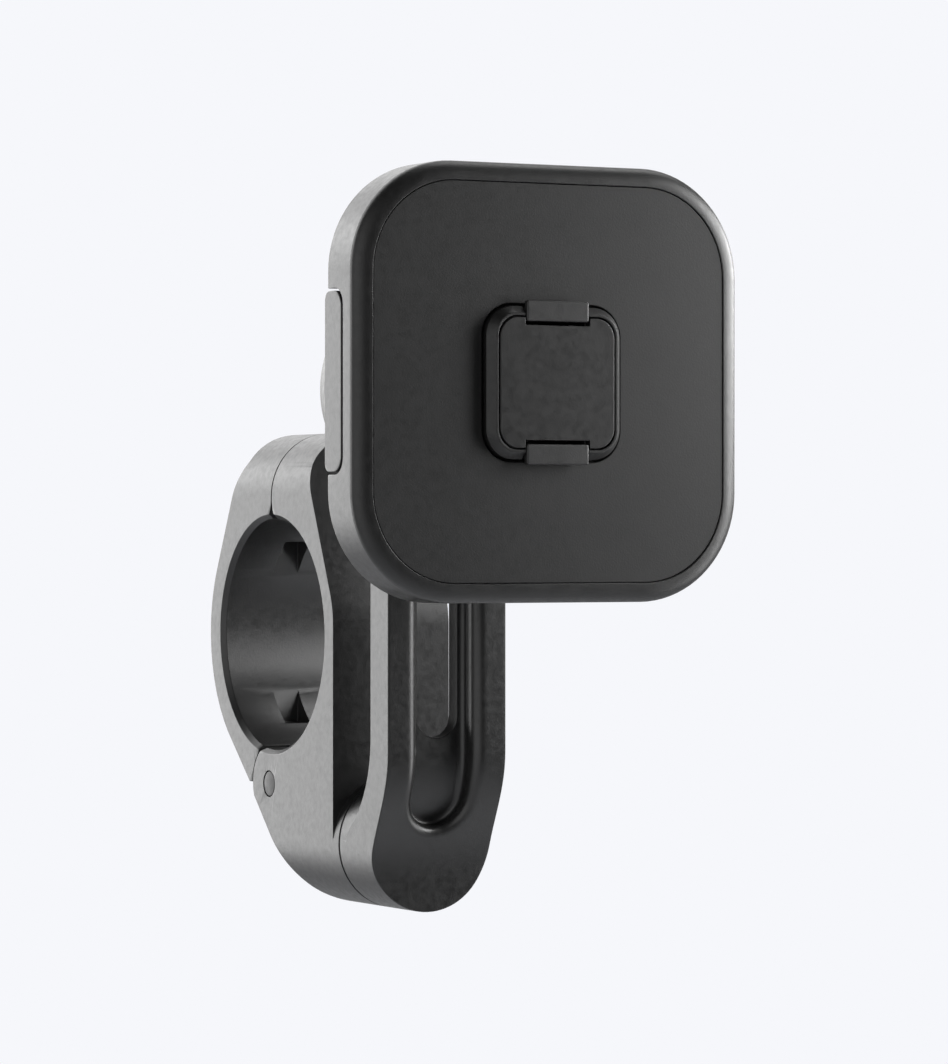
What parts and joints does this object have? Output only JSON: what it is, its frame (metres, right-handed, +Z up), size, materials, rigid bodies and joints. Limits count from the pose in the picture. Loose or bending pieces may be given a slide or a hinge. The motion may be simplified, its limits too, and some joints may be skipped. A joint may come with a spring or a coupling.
{
  "type": "phone mount",
  "caption": "Handlebar phone mount: hinged clamp, slotted swinging arm with a domed hand knob, ball joint, and a square magnetic head with a sprung mechanical lock.",
  "frame": {"origin": "centre of the handlebar clamp's bore", "axes": "+X along the handlebar, the head faces -Y, +Z up"},
  "size_m": [0.0611, 0.0936, 0.1067],
  "materials": {
    "black_anodised": "satin black anodised, bead blasted",
    "head_anodised": "satin black anodised, bead blasted",
    "button_anodised": "satin black anodised",
    "knob_anodised": "satin anodised",
    "steel_pin": "blackened steel, ground end",
    "black_steel": "black oxide",
    "steel_washer": "plain steel",
    "brass_insert": "turned brass",
    "nylon": "moulded low-friction plastic",
    "ball_steel": "turned steel",
    "bezel_rubber": "fine matt moulded",
    "panel_plastic": "fine matt soft-touch",
    "magnet_nickel": "nickel plated",
    "lock_plastic": "satin moulded",
    "latch_metal": "satin black coated",
    "spring_steel": "bright spring wire",
    "cam_steel": "stamped stainless steel"
  },
  "bodies": {
    "clamp": {"clamp_base": "black_anodised", "hinge_pin": "steel_pin", "clamp_insert": "brass_insert"},
    "jaw": {"rear_jaw": "black_anodised", "clamp_washer": "steel_washer"},
    "clamp_screw": {"clamp_screw": "black_steel"},
    "arm": {"arm": "black_anodised", "pivot_bolt": "black_steel", "pivot_spring_washer": "steel_washer", "pivot_friction_disc": "nylon"},
    "carriage": {"carriage": "black_anodised", "carriage_bolt": "black_steel", "knob_washer": "steel_washer"},
    "knob": {"clamp_knob": "knob_anodised", "knob_insert": "brass_insert"},
    "socket": {"ball_socket": "black_anodised", "ball_seat": "nylon", "socket_collar": "black_anodised"},
    "head": {"ball_stud": "ball_steel", "stud_screws": "black_steel", "head_shell": "head_anodised", "head_bezel": "bezel_rubber", "front_panel": "panel_plastic", "magnet_ring": "magnet_nickel", "magnet_back_iron": "steel_washer", "lock_frame": "lock_plastic", "lock_plate": "lock_plastic", "lock_frame_screws": "black_steel", "upper_latch_spring": "spring_steel", "lower_latch_spring": "spring_steel"},
    "release": {"release_button": "button_anodised", "cam_slider": "cam_steel"},
    "upper_latch": {"upper_latch": "latch_metal"},
    "lower_latch": {"lower_latch": "latch_metal"}
  },
  "joints": [
    {"name": "jaw_hinge", "type": "hinge", "parent": "clamp", "child": "jaw", "pos_m": [0, 0.0008, -0.02265], "axis": [-1, 0, 0], "range_deg": [0, 60]},
    {"name": "clamp_screw_turn", "type": "hinge", "parent": "jaw", "child": "clamp_screw", "pos_m": [0, 0.008, 0.024], "axis": [0, -1, 0], "continuous": true},
    {"name": "arm_pivot", "type": "hinge", "parent": "clamp", "child": "arm", "pos_m": [0, -0.023, -0.0304], "axis": [0, -1, 0], "continuous": true},
    {"name": "arm_slide", "type": "slide", "parent": "arm", "child": "carriage", "axis": [0, 0, 1], "range_m": [-0.033, 0.006]},
    {"name": "knob_turn", "type": "hinge", "parent": "carriage", "child": "knob", "pos_m": [0, -0.029, 0.03615], "axis": [0, -1, 0], "continuous": true},
    {"name": "head_swivel", "type": "hinge", "parent": "carriage", "child": "socket", "pos_m": [0, -0.045, 0.03615], "axis": [0, -1, 0], "continuous": true},
    {"name": "head_tilt", "type": "hinge", "parent": "socket", "child": "head", "pos_m": [0, -0.0528, 0.03615], "axis": [1, 0, 0], "range_deg": [-15, 15]},
    {"name": "button_press", "type": "slide", "parent": "head", "child": "release", "axis": [1, 0, 0], "range_m": [0, 0.0015]},
    {"name": "upper_latch_release", "type": "slide", "parent": "head", "child": "upper_latch", "axis": [0, 0, -1], "range_m": [0, 0.0005], "deforming": ["upper_latch_spring"]},
    {"name": "lower_latch_release", "type": "slide", "parent": "head", "child": "lower_latch", "axis": [0, 0, 1], "range_m": [0, 0.0005], "deforming": ["lower_latch_spring"]}
  ],
  "couplings": [
    {"joint": "upper_latch_release", "follows": "button_press", "ratio": 0.33333},
    {"joint": "lower_latch_release", "follows": "button_press", "ratio": 0.33333}
  ]
}
